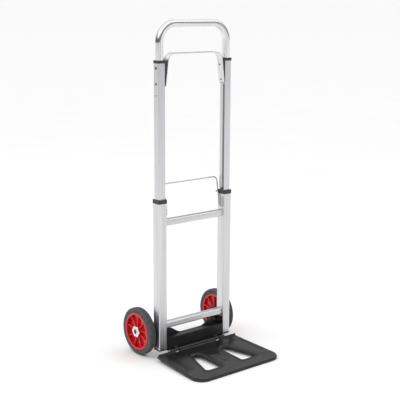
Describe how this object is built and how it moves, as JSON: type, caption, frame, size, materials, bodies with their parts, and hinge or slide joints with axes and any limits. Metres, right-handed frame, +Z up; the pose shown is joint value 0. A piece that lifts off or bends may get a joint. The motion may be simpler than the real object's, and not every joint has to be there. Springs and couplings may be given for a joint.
{
  "type": "hand truck",
  "caption": "Folding two-wheel hand truck with a telescopic aluminium frame, hinged black toe plate, wire bail and swing-in red-rimmed wheels.",
  "frame": {"origin": "on the floor, below the middle of the whole truck's box", "axes": "+Z up along the frame tubes, -Y towards the toe plate's front edge, +X to the truck's right side seen from its front"},
  "size_m": [0.3716, 0.4088, 1.101],
  "materials": {
    "alu_lower": "brushed along its length, clear anodised",
    "alu_mid": "brushed along its length, clear anodised",
    "alu_polished": "polished",
    "alu_bow": "satin",
    "black_plastic": "fine grained",
    "black_steel": "satin black powder coat",
    "plate_black": "satin black powder coat",
    "zinc": "zinc plated",
    "axle_steel": "dark plated",
    "wire_steel": "plated wire",
    "dark_rivet": "dark plated",
    "nylon": "moulded",
    "slide_grey": "moulded",
    "tyre": "moulded rubber",
    "rim_red": "moulded, glossy",
    "bush_nylon": "moulded",
    "cap_silver": "bright plated"
  },
  "bodies": {
    "frame": {"lower_tube_left": "alu_lower", "lower_tube_right": "alu_lower", "crossbar_upper": "alu_lower", "crossbar_lower": "alu_lower", "lower_collar_left": "black_plastic", "lower_collar_right": "black_plastic", "tube_foot_left": "black_plastic", "tube_foot_right": "black_plastic", "saddle": "black_steel", "saddle_bolts": "zinc", "hinge_rod": "zinc", "pivot_bracket_left": "black_steel", "pivot_bracket_right": "black_steel", "bracket_rivets": "zinc", "pivot_pins": "zinc"},
    "mid_stage": {"mid_tube_left": "alu_mid", "mid_tube_right": "alu_mid", "top_collar_left": "black_plastic", "top_collar_right": "black_plastic", "mid_guides": "nylon", "slide_strips": "slide_grey", "bow": "alu_bow", "bow_rivets": "zinc", "side_rivets": "dark_rivet"},
    "handle": {"handle_tube": "alu_polished", "handle_guides": "nylon"},
    "button_left": {"snap_button_left": "dark_rivet"},
    "button_right": {"snap_button_right": "dark_rivet"},
    "bail": {"bail_wire": "wire_steel"},
    "toe_plate": {"toe_plate": "plate_black"},
    "wheel_swing_left": {"wheel_arm_left": "black_steel", "axle_left": "axle_steel", "axle_nut_left": "zinc", "axle_spacer_left": "zinc"},
    "wheel_left": {"tyre_left": "tyre", "rim_left": "rim_red", "hub_bush_left": "bush_nylon", "hub_cap_left": "cap_silver"},
    "wheel_swing_right": {"wheel_arm_right": "black_steel", "axle_right": "axle_steel", "axle_nut_right": "zinc", "axle_spacer_right": "zinc"},
    "wheel_right": {"tyre_right": "tyre", "rim_right": "rim_red", "hub_bush_right": "bush_nylon", "hub_cap_right": "cap_silver"}
  },
  "joints": [
    {"name": "mid_slide", "type": "slide", "parent": "frame", "child": "mid_stage", "axis": [0, 0, -1], "range_m": [0, 0.3]},
    {"name": "handle_slide", "type": "slide", "parent": "mid_stage", "child": "handle", "axis": [0, 0, -1], "range_m": [0, 0.05]},
    {"name": "button_press_left", "type": "slide", "parent": "handle", "child": "button_left", "axis": [1, 0, 0], "range_m": [0, 0.002], "stiffness_N_per_m": 1500},
    {"name": "button_press_right", "type": "slide", "parent": "handle", "child": "button_right", "axis": [-1, 0, 0], "range_m": [0, 0.002], "stiffness_N_per_m": 1500},
    {"name": "bail_swing", "type": "hinge", "parent": "frame", "child": "bail", "pos_m": [0, 0.04105, 0.512], "axis": [1, 0, 0], "range_deg": [-1.5, 18]},
    {"name": "toe_fold", "type": "hinge", "parent": "frame", "child": "toe_plate", "pos_m": [0, 0.02605, 0.024], "axis": [-1, 0, 0], "range_deg": [0, 90]},
    {"name": "wheel_fold_left", "type": "hinge", "parent": "frame", "child": "wheel_swing_left", "pos_m": [-0.141, 0.07705, 0.0796], "axis": [0, 0, -1], "range_deg": [0, 90]},
    {"name": "wheel_spin_left", "type": "hinge", "parent": "wheel_swing_left", "child": "wheel_left", "pos_m": [-0.16835, 0.12465, 0.0796], "axis": [1, 0, 0], "continuous": true},
    {"name": "wheel_fold_right", "type": "hinge", "parent": "frame", "child": "wheel_swing_right", "pos_m": [0.141, 0.07705, 0.0796], "axis": [0, 0, 1], "range_deg": [0, 90]},
    {"name": "wheel_spin_right", "type": "hinge", "parent": "wheel_swing_right", "child": "wheel_right", "pos_m": [0.16835, 0.12465, 0.0796], "axis": [1, 0, 0], "continuous": true}
  ],
  "couplings": [
    {"joint": "wheel_fold_left", "follows": "toe_fold", "ratio": 1},
    {"joint": "wheel_fold_right", "follows": "toe_fold", "ratio": 1}
  ]
}
